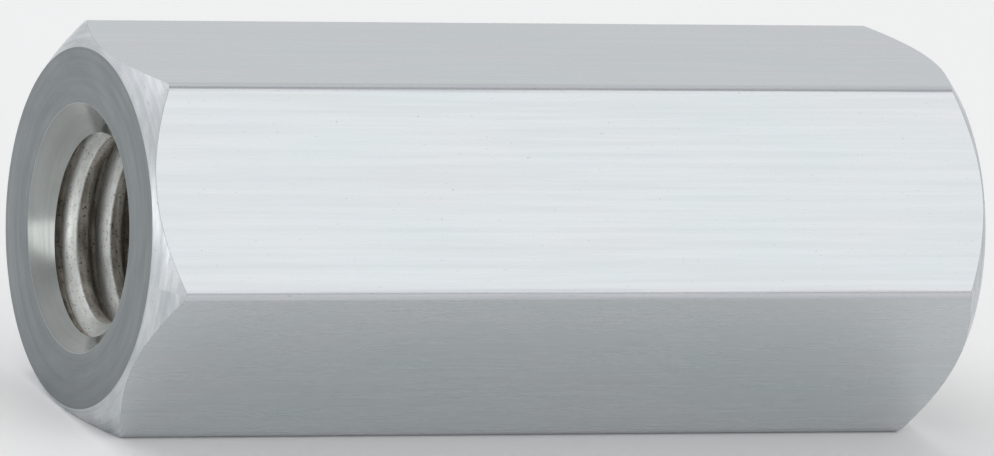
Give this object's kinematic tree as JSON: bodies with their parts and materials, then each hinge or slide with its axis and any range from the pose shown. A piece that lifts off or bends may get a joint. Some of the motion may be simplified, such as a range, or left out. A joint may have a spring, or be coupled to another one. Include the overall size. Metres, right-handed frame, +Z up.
{
  "type": "coupling nut",
  "caption": "Long hexagonal nut with chamfered ends and a countersunk, threaded through hole, for joining two threaded rods end to end.",
  "frame": {"origin": "middle of the flat that the nut lies on, halfway along its length", "axes": "+X along the thread, +Z up, out of the flat opposite the one it lies on"},
  "size_m": [0.025, 0.0114, 0.01],
  "materials": {
    "plated_steel": "satin"
  },
  "bodies": {
    "root": {"coupling_nut": "plated_steel"}
  },
  "joints": []
}
